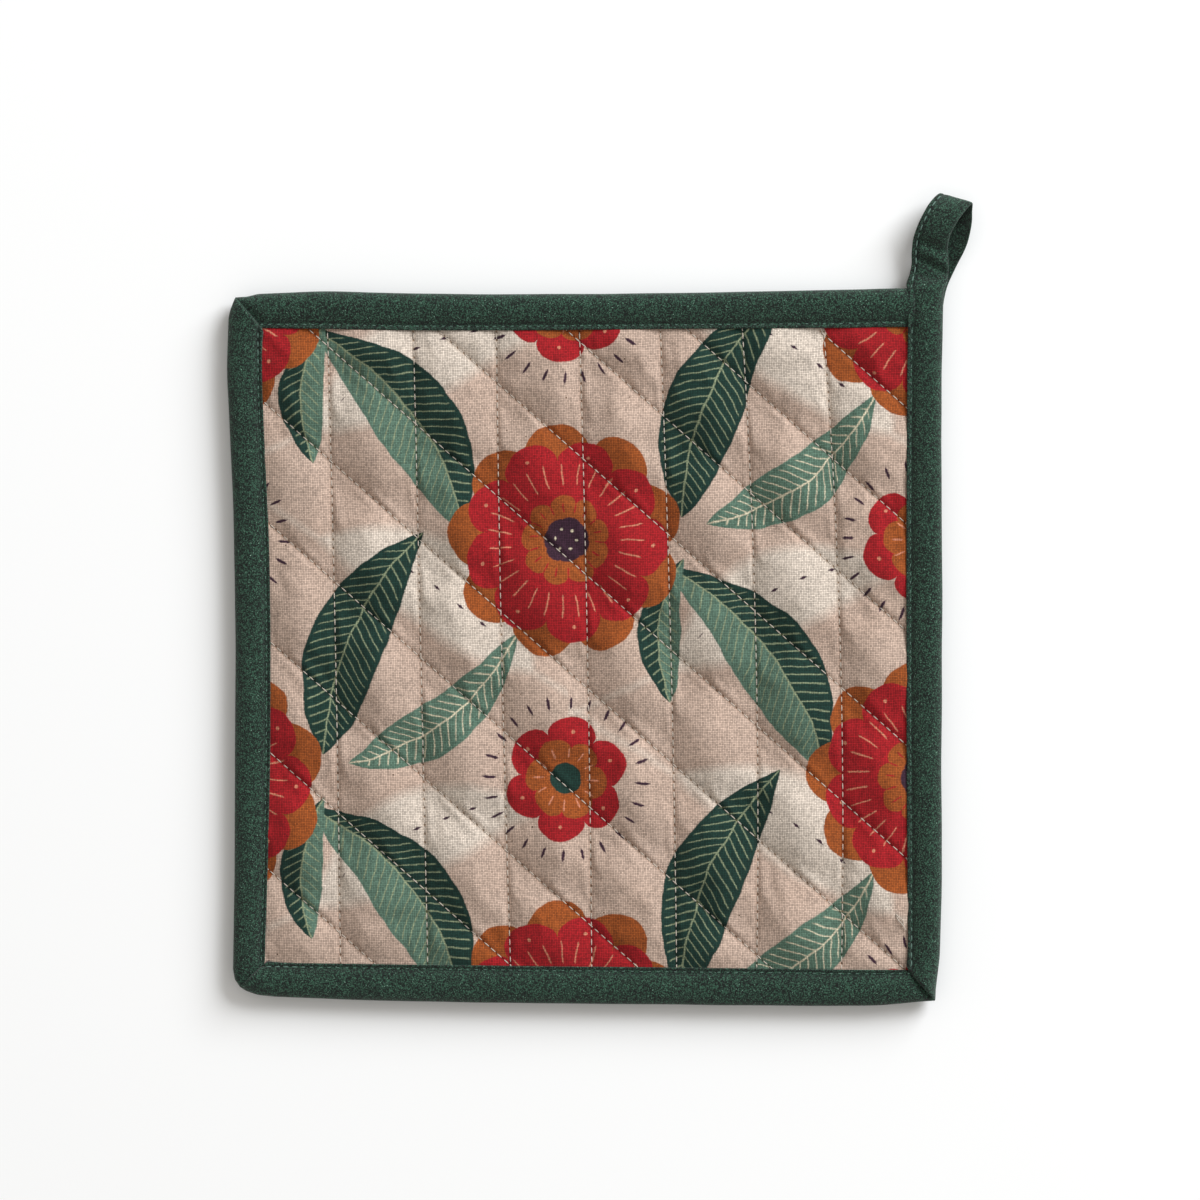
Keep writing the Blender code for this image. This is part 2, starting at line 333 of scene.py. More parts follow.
# rounds off the frame's straight runs, away from a side's ends
def smoothed(alongs, offsets):
    reach = int(edgeReading["blur"] / edgeReading["step"])
    window = np.hanning(2 * reach + 3)
    padded = np.pad(offsets, reach + 1, mode="reflect", reflect_type="odd")
    blurred = np.convolve(padded, window / window.sum(), mode="valid")
    fromEnds = np.minimum(np.abs(alongs - alongs[0]), np.abs(alongs - alongs[-1]))
    share = smoothStep((fromEnds - edgeReading["blurFrom"]) / edgeReading["blurOver"])
    return offsets + (blurred - offsets) * share


# one edge of a side: how far along and how far out its points are, in sewing order
def readEdge(side, which):
    out = Vector(side["out"])
    across = Vector((abs(out.y), abs(out.x)))
    ends = [edgeEnd(side[name], which) for name in ("start", "end")]
    if which == "inner":
        first, last = side["inner"]
    else:
        first, last = (e.dot(across) if isinstance(e, Vector) else side["readTo"] for e in ends)
        margin = math.copysign(edgeReading["margin"], last - first)
        first, last = first + margin, last - margin
    alongs = np.linspace(first, last, round(abs(last - first) / edgeReading["step"]))
    begin, way, height = edgeReading["rays"][which]
    hits = [bindingHit(across * along + out * begin, out * way, height) for along in alongs]
    offsets = smoothed(alongs, np.array([hit.dot(out) for hit in hits]))
    tips = [
        (end.dot(across), end.dot(out)) if isinstance(end, Vector) else (end, offset)
        for end, offset in zip(ends, offsets[[0, -1]])
    ]
    alongs = np.array((tips[0][0], *alongs, tips[1][0]))
    offsets = np.array((tips[0][1], *offsets, tips[1][1]))
    if which == "inner":
        return alongs, offsets
    offsets[1:-1] -= edgeReading["inset"]
    for end, at in ((side["start"], 0), (side["end"], -1)):
        if end in corners and corners[end]["end"]:  # two straight runs meet at a sharp corner
            kept = np.abs(alongs - alongs[at]) >= edgeReading["sharpEnds"]
            kept[at] = True
            alongs, offsets = alongs[kept], offsets[kept]
    return alongs, offsets


edges = [{which: readEdge(side, which) for which in ("outer", "inner")} for side in sides]
print("binding edges read")


# how far out a side's edge lies, at a place along it
def edgeOut(number, which, along):
    alongs, offsets = edges[number][which]
    order = np.argsort(alongs)
    return np.interp(along, alongs[order], offsets[order])


# how far inside the binding a point of the pad lies, in mm, and under 0 where it is covered
def insideBy(x, y):
    reaches = []
    for number, side in enumerate(sides):
        along, out = (x, y * side["out"][1]) if side["out"][1] else (y, x * side["out"][0])
        reaches.append(edgeOut(number, "inner", along) - out)
    return np.minimum.reduce(reaches)


# a point of an edge, at a share of the way along a side
def edgePoint(number, which, share):
    alongs = edges[number][which][0]
    along = alongs[0] + (alongs[-1] - alongs[0]) * share
    out = Vector(sides[number]["out"])
    return Vector((abs(out.y), abs(out.x))) * along + out * float(edgeOut(number, which, along))


# the quilting: seams as in the part's source, in mm
seamHeights = (77.0, 0.0, -103.0)
uprightSeams = (  # x at each of the three heights
    (-78.1, -76.1, -74.4),
    (-53.5, -51.7, -49.4),
    (-29.7, -28.5, -25.7),
    (-5.9, -3.9, -2.4),
    (17.3, 19.9, 21.9),
    (40.8, 44.3, 44.9),
    (64.1, 68.4, 69.2),
)
slantedSeams = (132.8, 99.5, 68.8, 36.1, 3.7, -28.5, -62.0, -95.6, -127.4, -161.3)  # y at x = 0
quilting = {
    "uprightPitch": 23.9,  # mm, from seam to seam past the last ones
    "slantedPitch": 32.7,
    "slant": 0.885,  # how far a slanted seam falls for each mm across
    "spareCells": 2,  # past the last seams on each side
    "rounds": 6,  # of finding where two seams cross, as each depends a little on the other
}
lean = math.hypot(1, quilting["slant"])  # length of a slanted seam for each mm across
seamCurves = [np.polyfit(seamHeights, row, 2).tolist() for row in uprightSeams]


def uprightX(number, y):
    inside = min(max(number, 0), len(seamCurves) - 1)
    bend, tilt, middle = seamCurves[inside]
    return (bend * y + tilt) * y + middle + (number - inside) * quilting["uprightPitch"]


def slantedY(number, x):
    inside = min(max(number, 0), len(slantedSeams) - 1)
    spare = (number - inside) * quilting["slantedPitch"]
    return slantedSeams[inside] - spare - quilting["slant"] * x


def cellPoint(column, row):
    left, above = math.floor(column), math.floor(row)
    x = y = 0.0
    for _ in range(quilting["rounds"]):
        x = uprightX(left, y) + (column - left) * (uprightX(left + 1, y) - uprightX(left, y))
        y = slantedY(above, x) + (row - above) * (slantedY(above + 1, x) - slantedY(above, x))
    return x, y


# the pad: a face and a back, puffed up between their seams and closed all round
pad = {
    "faceTop": 8.0,  # mm above the ground
    "seamTop": 4.7,
    "seamUnder": 2.0,
    "edgeTop": 5.15,
    "edgeUnder": 2.9,
    "lipClear": 0.6,  # mm that the back stays up past the binding's inner edge
    "backSlope": 5.5,
    "backFlat": 1.7,  # higher lays more of each cell's back on the ground
    "offGround": 0.02,
    "cutBy": 1.6,  # mm in from the binding's outside
    "cutReads": (0.12, 0.88),  # shares of a side at which its straight cut is read
    "margin": 14.0,  # mm of sheet kept past the binding's inner edge until it is cut
    "faceQuads": 18,  # across a cell, each way, before one subdivision
    "backQuads": 9,
    "fullness": 0.80,  # lower makes a squarer cell
    "seamCrease": 0.8,
    "riseWidth": 10.0,  # mm over which a cell rises from the binding
    "lowestRise": 0.25,
    "puffFrames": 16,
    "puffMost": 1.6,  # mm that a point may move
    "holeDepth": 0.28,
    "holeWidth": 0.8,
    "heldDown": 0.35,  # share of that depth between two needle holes
    "ripples": ((1.0, 1.31, 1.0), (0.8, 2.07, 2.3), (0.7, 0.63, 4.1)),  # height, pace, phase
    "ripplePhase": 1.7,  # from each seam to the next
    "rippleHeight": 0.055,
    "rippleReach": 3.0,
    "rippleFrom": 0.7,
    "softFold": 0.11,
    "foldSize": (8.0, 11.0),
    "foldSeed": 3.1,
    "foldFrom": 5.0,  # mm from a seam
    "puckerFrom": -0.3,  # mm inside the binding
    "puckerOver": 1.5,
    "backShare": -0.5,  # of the face's puckers
}
puffing = {  # by the names of the cloth simulation's own settings
    "quality": 5,
    "mass": 0.3,
    "tension_stiffness": 15,
    "compression_stiffness": 15,
    "shear_stiffness": 5,
    "bending_stiffness": 0.5,
    "use_pressure": True,
    "uniform_pressure_force": 9.0,
    "shrink_min": -0.012,
}
stitching = {  # mm
    "pitch": 2.48,
    "length": 2.2,
    "shortest": 0.7,
    "radius": 0.19,
    "dive": 0.32,
    "uneven": 0.08,  # of each stitch's place in mm, and of its length as a share
    "blunt": 0.45,  # 0 makes each end as round as a sphere's
    "segments": 6,
    "lift": 0.12,
}
topStitching = {**stitching, "radius": 0.22, "lift": 0.22}
seamReading = {  # mm
    "up": (-108.0, 80.0, 0.5),
    "across": (-98.0, 90.0, 0.4),
    "underBinding": 0.4,  # how far a row runs on under the binding
    "fewest": 5,  # points of a row
}
rayStart = 20.0  # mm over or under the ground, where a ray to the pad starts


def cellFill(column, row):
    across = math.sin(math.pi * (column - math.floor(column)))
    down = math.sin(math.pi * (row - math.floor(row)))
    return (max(across, 0.0) * max(down, 0.0)) ** pad["fullness"]


def riseFrom(inside):
    share = min(max(inside / pad["riseWidth"], 0.0), 1.0)
    return pad["lowestRise"] + (1 - pad["lowestRise"]) * math.sin(math.pi / 2 * share)


def faceHeight(fill, inside):
    if inside <= 0:
        return pad["edgeTop"]
    return pad["seamTop"] + (pad["faceTop"] - pad["seamTop"]) * fill * riseFrom(inside)


# the back is pressed flat on the ground between its seams, and slopes up into the binding
def backHeight(fill, inside):
    full = min(1.0, fill * pad["backFlat"])
    pressed = pad["seamUnder"] * (1 - full * riseFrom(inside)) + pad["offGround"]
    slope = float(smoothStep((inside - pad["lipClear"]) / pad["backSlope"]))
    return pad["edgeUnder"] + (pressed - pad["edgeUnder"]) * slope


# a sheet whose edges run along the seams, for the face or the back
def quiltedSheet(quads, height):
    spare = quilting["spareCells"]
    columns = (-spare, len(uprightSeams) - 1 + spare)
    rows = (-spare, len(slantedSeams) - 1 + spare)
    across, down = (columns[1] - columns[0]) * quads, (rows[1] - rows[0]) * quads
    bm = bmesh.new()
    bmesh.ops.create_grid(bm, x_segments=across, y_segments=down, size=0.5)
    pinned = bm.verts.layers.deform.verify()
    crease = bm.edges.layers.float.new("crease_edge")
    steps, places, covered = {}, {}, []
    for vert in bm.verts:
        i, j = gridStep(vert, across, down)
        column, row = columns[0] + i / quads, rows[0] + j / quads
        x, y = cellPoint(column, row)
        inside = float(insideBy(x, y))
        steps[vert] = (i, j)
        places[vert] = (  # on the flat cloth, and by the number of each seam and of its stitches
            ((x + clothMiddle) * mm, (y + clothMiddle) * mm),
            (column, y / stitching["pitch"]),
            (row, x * lean / stitching["pitch"]),
        )
        vert.co = Vector((x, y, height(cellFill(column, row), inside))) * mm
        onSeam = i % quads == 0 or j % quads == 0
        vert[pinned][0] = 1.0 if onSeam or inside <= 0 else 0.0
        if inside < -pad["margin"]:
            covered.append(vert)
    for edge in bm.edges:
        (i1, j1), (i2, j2) = steps[edge.verts[0]], steps[edge.verts[1]]
        onSeam = (i1 == i2 and i1 % quads == 0) or (j1 == j2 and j1 % quads == 0)
        edge[crease] = pad["seamCrease"] if onSeam else 0.0
    writeMaps(bm, ("flatCloth", "uprightSeam", "slantedSeam"), places)
    bmesh.ops.delete(bm, geom=covered, context="VERTS")
    bmesh.ops.recalc_face_normals(bm, faces=bm.faces)
    return bm


# cloth held along its stitches, with the wadding pressing it up from below
def puffUp(sheet):
    start = pointsOf(sheet.data)
    group = sheet.vertex_groups.new(name="pinned")
    cloth = sheet.modifiers.new("cloth", "CLOTH")
    cloth.settings.vertex_group_mass = group.name
    for key, value in puffing.items():
        setattr(cloth.settings, key, value)
    cloth.settings.effector_weights.gravity = 0.0
    cloth.collision_settings.use_collision = False
    cloth.collision_settings.use_self_collision = False
    cloth.point_cache.frame_end = pad["puffFrames"]
    for number in range(1, pad["puffFrames"] + 1):
        bpy.context.scene.frame_set(number)
    applyModifiers(sheet)
    bpy.context.scene.frame_set(1)
    moved = pointsOf(sheet.data) - start
    length = np.linalg.norm(moved, axis=1, keepdims=True)
    moved *= np.minimum(1.0, pad["puffMost"] * mm / np.maximum(length, 1e-9))
    movePoints(sheet.data, start + moved)
    print("face puffed up, moved at most mm:", round(float(length.max()) / mm, 2))


# what the needle holes and the pull of the thread do beside each seam
def pucker(mesh, share):
    places = pointsOf(mesh)
    x, y = places[:, 0] / mm, places[:, 1] / mm
    shift = np.zeros(len(x))
    spare = quilting["spareCells"]
    uprights = np.array([uprightX(n, y) for n in range(-spare, len(uprightSeams) + spare)])
    slanted = np.array([slantedY(n, x) for n in range(-spare, len(slantedSeams) + spare)])
    pulls = (  # how far aside each seam lies, how far along it, and where its numbers start
        (np.abs(x - uprights), y, 0.0),
        (np.abs(y - slanted) / lean, x * lean, 20.0),
    )
    nearest = np.full(len(x), np.inf)
    for distances, along, first in pulls:
        distance = distances.min(0)
        phase = pad["ripplePhase"] * (distances.argmin(0) + first)
        nearest = np.minimum(nearest, distance)
        holes = 0.5 + 0.5 * np.cos(2 * np.pi * along / stitching["pitch"])
        held = pad["heldDown"] + (1 - pad["heldDown"]) * holes
        shift -= pad["holeDepth"] * np.exp(-((distance / pad["holeWidth"]) ** 2)) * held
        waves = ((high, along * pace + turn * phase) for high, pace, turn in pad["ripples"])
        ripples = sum(high * np.sin(wave) for high, wave in waves)
        reach = np.exp(-distance / pad["rippleReach"]) * (1 - np.exp(-distance / pad["rippleFrom"]))
        shift += pad["rippleHeight"] * ripples * reach
    spots = zip(x / pad["foldSize"][0], y / pad["foldSize"][1])
    folds = np.array([noise.noise((*spot, pad["foldSeed"])) for spot in spots])
    shift += pad["softFold"] * folds * smoothStep(nearest / pad["foldFrom"])
    fromLip = (insideBy(x, y) - pad["puckerFrom"]) / pad["puckerOver"]
    shift *= smoothStep(fromLip) * share
    places[:, 2] = np.maximum(places[:, 2] + shift * mm, 0.0)
    movePoints(mesh, places)


# trims a sheet a little inside the fold of the binding
def trimSheet(mesh):
    bm = bmesh.new()
    bm.from_mesh(mesh)
    cuts = []
    for number, side in enumerate(sides):
        out = Vector(side["out"])
        first, last = (edgePoint(number, "outer", share) for share in pad["cutReads"])
        run = (last - first).normalized()
        square = Vector((run.y, -run.x))
        cuts.append((first, square if square.dot(out) > 0 else -square))
    for corner in corners.values():
        cuts.append((outerCorner(corner), Vector(corner["towards"]).normalized()))
    for place, outwards in cuts:
        inset = (place - outwards * pad["cutBy"]) * mm
        bmesh.ops.bisect_plane(
            bm,
            geom=bm.verts[:] + bm.edges[:] + bm.faces[:],
            dist=1e-6,
            plane_co=(*inset, 0),
            plane_no=(*outwards, 0),
            clear_outer=True,
        )
    bm.to_mesh(mesh)
    bm.free()


def makeSheet(name, quads, height, share):
    sheet = addPiece(name, quiltedSheet(quads, height))
    if name == "face":
        puffUp(sheet)
    finer = sheet.modifiers.new("finer", "SUBSURF")
    finer.levels = finer.render_levels = 1
    applyModifiers(sheet)
    pucker(sheet.data, share)
    trimSheet(sheet.data)
    return sheet


# makes the pad, and hands on a tree of its faces for what lies on it
def makePad(faceMaterial, backMaterial):
    face = makeSheet("face", pad["faceQuads"], faceHeight, 1.0)
    back = makeSheet("back", pad["backQuads"], backHeight, pad["backShare"])
    bm = bmesh.new()
    bm.from_mesh(face.data)
    faceCount = len(bm.faces)
    bm.from_mesh(back.data)
    rims = [edge for edge in bm.edges if edge.is_boundary]
    bmesh.ops.bridge_loops(bm, edges=rims)
    bm.faces.ensure_lookup_table()
    for polygon in bm.faces[faceCount:]:
        polygon.material_index = 1
    closeUp(bm, "pad")
    piece = addPiece("quilted_pad", bm, faceMaterial, backMaterial)
    for sheet in (face, back):
        bpy.data.objects.remove(sheet)
    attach(piece, "root")
    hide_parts("quilted_panel")
    print("pad made, faces:", len(piece.data.polygons))
    return BVHTree.FromObject(piece, bpy.context.evaluated_depsgraph_get())


# the cloths: plain weave in linear colours, sizes in mm
cotton = {
    "pitch": 0.48,  # from thread to thread
    "swayScale": 0.3,  # how the threads wander
    "sway": 0.4,
    "weaveHeight": 0.09,
    "meanHeight": 0.72,  # of the threads, where the highest stand at 1
    "threadTone": 0.32,  # how much lighter or darker a thread may be
    "crossTone": 0.45,  # and each crossing of two threads
    "crossPower": 1.0,
    # how dark the painted shade in the gaps between threads is
    "poreShade": 1.40,
    "leastTone": 0.1,
    "slubLength": 9.0,
    "slubSpread": 3.7,  # higher makes neighbouring threads less alike
    "patchScale": 0.045,
    "roughness": 0.92,
    "sheen": 0.06,
    "sheenRoughness": 0.6,
    "specular": 0.2,
    "seamShadeTint": (0.46, 0.36, 0.28, 1.0),  # painted shade: the cloth's own colour is multiplied by this in a seam's groove and needle holes
}
greenWeave = {
    **cotton,
    "pitch": 0.27,
    "weaveHeight": 0.08,
    "threadTone": 0.25,
    "crossTone": 3.4,
    "crossPower": 2.0,
    "poreShade": 1.3,
    "patchScale": 0.12,
    "biasTurn": 0.7071,  # for threads at 45 degrees to the strip
    "lintScale": 2.6,
    "lintFrom": 0.66,  # higher leaves less lint
    "lintSoft": 0.03,
    "sheen": 0.14,
    "seamShadeTint": (0.35, 0.35, 0.35, 1.0),
}
flecks = {
    "scale": 0.16,
    "size": 0.02,
    "raggedScale": 1.6,
    "ragged": 0.03,
    "soft": 0.008,
}
# the seams' needle holes and groove: their size and depth, and the painted shade in them
needleHolesAndShade = {
    "size": 0.30,
    "soft": 0.15,
    "narrow": 0.6,  # lower makes a hole longer along the seam
    "groove": 0.50,
    # how dark the painted shade in the groove is
    "grooveShade": 0.36,
    "depth": 0.2,
}
# the binding's row of stitches: a wider groove with lighter painted shade
topHolesAndShade = {**needleHolesAndShade, "groove": 0.75, "grooveShade": 0.7}
tones = {
    "natural": (0.500, 0.378, 0.308, 1.0),
    "darkNatural": (0.425, 0.305, 0.238, 1.0),
    "green": (0.0098, 0.0290, 0.0180, 1.0),
    "lightGreen": (0.0136, 0.0390, 0.0245, 1.0),
    "wash": (0.570, 0.490, 0.415, 1.0),
    "red": (0.305, 0.008, 0.012, 1.0),
    "ochre": (0.275, 0.066, 0.012, 1.0),
    "teal": (0.0075, 0.0300, 0.0225, 1.0),
    "sage": (0.085, 0.148, 0.108, 1.0),
    "plum": (0.036, 0.013, 0.026, 1.0),
    "cream": (0.520, 0.460, 0.330, 1.0),
    "paleVein": (0.215, 0.250, 0.150, 1.0),
    "salmon": (0.520, 0.200, 0.120, 1.0),
    "seed": (0.110, 0.062, 0.036, 1.0),
    "greenLint": (0.105, 0.165, 0.130, 1.0),
    "paleThread": (0.610, 0.530, 0.450, 1.0),
    "greenThread": (0.130, 0.225, 0.185, 1.0),
}


# where a point lies on its flat cloth, in mm
def clothPlace(start):
    flat = start.node("ShaderNodeUVMap", {"uv_map": "flatCloth"})
    inMm = flat.vector("MULTIPLY", (1 / mm, 1 / mm, 0))
    return inMm.vector("SUBTRACT", (clothMiddle, clothMiddle, 0))


def shaken(place, scale, reach):
    shift = place.noise(scale, out=1).vector("SUBTRACT", (0.5, 0.5, 0.5))
    return place.vector("ADD", shift.vector("MULTIPLY", (reach, reach, 0)))


# plain weave: how high the threads stand, 0 to 1, and how light each one is, 1 on average, with
# painted shade in the low gaps between threads
def weaveOf(place, values):
    place = shaken(place, values["swayScale"], values["sway"])
    x, y = place.part(0) / values["pitch"], place.part(1) / values["pitch"]
    across, along = (x * math.pi).sine(), (y * math.pi).sine()
    warp = across.size() ** 0.5 + across.maths("SIGN", across) * along
    weft = along.size() ** 0.5 - along.maths("SIGN", along) * across
    height = warp.atLeast(weft) * 0.5
    stretch = values["pitch"] / values["slubLength"]
    column, row = (x - 0.5).nearest(), (y - 0.5).nearest()
    spread = values["slubSpread"]
    warpTone = (column * spread).joined(y * stretch).noise(1.0)
    weftTone = (row * spread).joined(x * stretch).noise(1.0)
    thread = weftTone + (warpTone - weftTone) * (warp - weft).edge(0.1)
    chance = place.node("ShaderNodeTexWhiteNoise", None, {0: column.joined(row)})
    power = values["crossPower"]
    # painted shade: darker where the threads lie lower
    poreShading = (height - values["meanHeight"]) * values["poreShade"]
    tone = (thread - 0.5) * (values["threadTone"] * 2) + poreShading
    return height, tone + (chance**power - 1 / (power + 1)) * values["crossTone"] + 1.0


# along a seam: a shallow groove, with needle holes at whole stitches; the mask sinks the relief there
# and darkens the colour as painted shade
def seamDentsAndShade(aside, stitch, values):
    along = (stitch - stitch.nearest()).size() * stitching["pitch"]
    away = (aside * aside + along * along * values["narrow"]) ** 0.5
    hole = (values["size"] - away).edge(values["soft"])
    groove = (values["groove"] - aside).edge(values["groove"])
    # painted shade: the groove's darkness is grooveShade of the hole's
    return hole.atLeast(groove * values["grooveShade"])


# the quilting's seams, from the pad's own measures of them: the dents of their grooves and needle
# holes, and the painted shade in them
def quiltingDentsAndShade(start):
    marks = []
    widths = {"uprightSeam": quilting["uprightPitch"], "slantedSeam": quilting["slantedPitch"] / lean}
    for layer, width in widths.items():
        seam = start.node("ShaderNodeUVMap", {"uv_map": layer})
        number = seam.part(0)
        aside = (number - number.nearest()).size() * width
        marks.append(seamDentsAndShade(aside, seam.part(1), needleHolesAndShade))
    return marks[0].atLeast(marks[1])


def clothMaterial(material, place, colour, marks, values):
    height, tone = weaveOf(place, values)
    # painted shade: the cloth darkened and warmed in the seams' grooves and needle holes
    seamShade = marks.between((1.0, 1.0, 1.0, 1.0), values["seamShadeTint"])
    colour = colour.shaded(tone.atLeast(values["leastTone"])).shaded(seamShade)
    relief = height * values["weaveHeight"] - marks * needleHolesAndShade["depth"]
    finishCloth(place, colour, relief, values)
    print(material.name, "ready, nodes:", len(material.node_tree.nodes))
    return material


# natural cotton: uneven in tone, with the odd dark fleck of seed husk
def naturalGround(place):
    patchy = place.noise(cotton["patchScale"], 4.0)
    ground = patchy.between(tones["natural"], tones["darkNatural"])
    cells = {0: place, 2: flecks["scale"], 8: 1.0}
    distance = place.node("ShaderNodeTexVoronoi", None, cells)
    ragged = place.noise(flecks["raggedScale"]) * flecks["ragged"]
    fleck = (flecks["size"] - distance + ragged).edge(flecks["soft"])
    return fleck.between(ground, tones["seed"])


# the print: a half-drop repeat of flowers and leaves in four groups of motifs, in mm
lattice = {"across": 84.0, "down": 112.0, "x": -8.0, "y": 14.0}
flowers = (
    {
        "at": (0, 0),
        "layers": (  # tone, radius, petals, turn, how deep the petals are cut
            ("ochre", 27.5, 9, 0.35, 0.24),
            ("red", 24.0, 9, 1.92, 0.22),
            ("ochre", 10.5, 9, 0.35, 0.20),
            ("plum", 5.4, 7, 0.0, 0.08),
        ),
        "strokes": (("salmon", 12.8, 18.2, 27, 0.0, 0.15), ("red", 6.6, 8.8, 18, 0.7, 0.16)),
        "dots": (("salmon", 20.3, 9, 0.35, 0.42), ("cream", 2.6, 6, 0.2, 0.34)),
    },
    {
        "at": (0, 56),
        "layers": (
            ("red", 14.5, 6, 0.4, 0.26),
            ("ochre", 9.6, 6, 1.97, 0.24),
            ("teal", 3.7, 5, 0.0, 0.06),
        ),
        "strokes": (("plum", 16.3, 19.6, 24, 0.4, 0.32), ("salmon", 5.0, 7.6, 12, 0.4, 0.16)),
        "dots": (("salmon", 11.2, 6, 1.97, 0.40),),
    },
)
leafGroups = (
    {
        "at": (42, 28),
        "leaves": (  # tones of the two halves and the veins, x, y, turn, length, half width, bend
            ("wash", "wash", "plum", 9, 13, 148, 60, 10.5, -6),
            ("sage", "sage", "cream", 11, -9, 38, 50, 6.6, -6),
            ("teal", "teal", "paleVein", -3, 4, 66, 58, 9.0, 6),
        ),
    },
    {
        "at": (42, -28),
        "leaves": (
            ("wash", "wash", "plum", 10, 10, 24, 58, 10.0, 6),
            ("sage", "teal", "paleVein", 0, -2, 128, 60, 9.5, -7),
            ("teal", "sage", "paleVein", -16, 7, 85, 34, 5.2, 4),
        ),
    },
)
drawing = {
    "size": 1.22,  # of the whole repeat
    "softness": 0.14,  # of the edges of petals and leaves
    "lineSoftness": 0.12,
    "washSoftness": 1.6,
    "wobbleScale": 0.07,
    "wobble": 3.2,
    "bleedScale": 1.3,
    "bleed": 0.45,
    "strokeTaper": 0.4,
    "leafTip": 0.85,  # higher makes a leaf more pointed
    "leafLean": 0.22,  # how much wider a leaf is towards its stalk
    "veinPitch": 2.3,
    "veinSlant": 0.75,
    "veinHalf": 0.13,
    "veinClear": 1.0,  # of the leaf's edge, as for the rib and the dashes
    "ribHalf": 0.20,
    "ribClear": 0.2,
    "dashPitch": 7.0,
    "dashReach": 1.1,  # half its length
    "dashTaper": 0.35,
    "dashHalf": 0.36,
    "dashAside": 1.2,
    "dashClear": 5.0,
}


# a point's place within its own copy of a group of motifs
def groupPlace(place, at):
    x = place.part(0) - (lattice["x"] + at[0])
    column = (x / lattice["across"]).nearest()
    y = place.part(1) - (lattice["y"] + at[1]) + column * (lattice["down"] / 2)
    return x - column * lattice["across"], y - (y / lattice["down"]).nearest() * lattice["down"]


def drawFlower(colour, place, flower):
    x, y = groupPlace(place, flower["at"])
    radius = (x * x + y * y) ** 0.5
    angle = y.maths("ARCTAN2", y, x)

    # how far round a point lies from the nearest of some even rays
    def fromRay(count, turn):
        return (angle * (count / 2) + turn).sine().size()

    for tone, reach, petals, turn, depth in flower["layers"]:
        outline = fromRay(petals, turn) ** 0.5 * (reach * depth) + reach * (1 - depth)
        colour = (outline - radius).edge(drawing["softness"]).between(colour, tones[tone])
    for tone, first, last, count, turn, half in flower["strokes"]:
        aside = fromRay(count, turn) * radius * (2 / count)
        within = (last - first) / 2 - (radius - (first + last) / 2).size()
        within = (within * drawing["strokeTaper"]).atMost(half)
        stroke = (within - aside).edge(drawing["lineSoftness"])
        colour = stroke.between(colour, tones[tone])
    for tone, ring, count, turn, size in flower["dots"]:
        aside = fromRay(count, turn) * (ring * 2 / count)
        away = radius - ring
        dot = (size - (aside * aside + away * away) ** 0.5).edge(drawing["lineSoftness"])
        colour = dot.between(colour, tones[tone])
    return colour


def drawLeaf(colour, x, y, leaf):
    upper, lower, veins, dx, dy, turn, length, half, bend = leaf
    cosine, sine = math.cos(math.radians(turn)), math.sin(math.radians(turn))
    x, y = x - dx, y - dy
    along = x * cosine + y * sine
    share = along * (2 / length)
    taper = (1 - share * share).atLeast(0.0)
    aside = y * cosine - x * sine - taper * bend
    width = half - share * (half * drawing["leafLean"])
    inside = taper ** drawing["leafTip"] * width - aside.size() - drawing["softness"]
    tone = aside.edge(drawing["softness"]).between(tones[lower], tones[upper])
    softness = drawing["washSoftness"] if upper == "wash" else drawing["softness"]
    colour = inside.edge(softness).between(colour, tone)
    line = drawing["lineSoftness"]
    if veins == "plum":  # a wash of colour with only a row of small dashes on it
        place = along / drawing["dashPitch"]
        fromDash = (place - place.nearest()).size() * drawing["dashPitch"]
        dash = (drawing["dashReach"] - fromDash) * drawing["dashTaper"]
        dash = dash.atMost(drawing["dashHalf"]) - (aside - drawing["dashAside"]).size()
        marks = dash.edge(line) * (inside - drawing["dashClear"]).edge(0.3)
    else:
        pitch, slant = drawing["veinPitch"], drawing["veinSlant"]
        rank = (along + aside.size() * slant) / pitch
        off = (rank - rank.nearest()).size() * (pitch / math.hypot(1, slant))
        vein = (drawing["veinHalf"] - off).edge(line) * (inside - drawing["veinClear"]).edge(0.25)
        rib = (drawing["ribHalf"] - aside.size()).edge(line)
        marks = vein.atLeast(rib) * (inside - drawing["ribClear"]).edge(0.2)
    return marks.between(colour, tones[veins])


def printedPattern(place):
    colour = naturalGround(place)
    drawn = shaken(place, drawing["wobbleScale"], drawing["wobble"])
    drawn = shaken(drawn, drawing["bleedScale"], drawing["bleed"])
    drawn = drawn.vector("DIVIDE", (drawing["size"], drawing["size"], 1.0))
    places = [groupPlace(drawn, group["at"]) for group in leafGroups]
    for number in range(3):  # the washes of both groups lie under all the leaves
        for group, (x, y) in zip(leafGroups, places):
            colour = drawLeaf(colour, x, y, group["leaves"][number])
    for flower in flowers:
        colour = drawFlower(colour, drawn, flower)
    return colour


# the pad's cotton, printed or plain
def makeCotton(name, pattern):
    material, start = newMaterial(name)
    place = clothPlace(start)
    return clothMaterial(material, place, pattern(place), quiltingDentsAndShade(start), cotton)


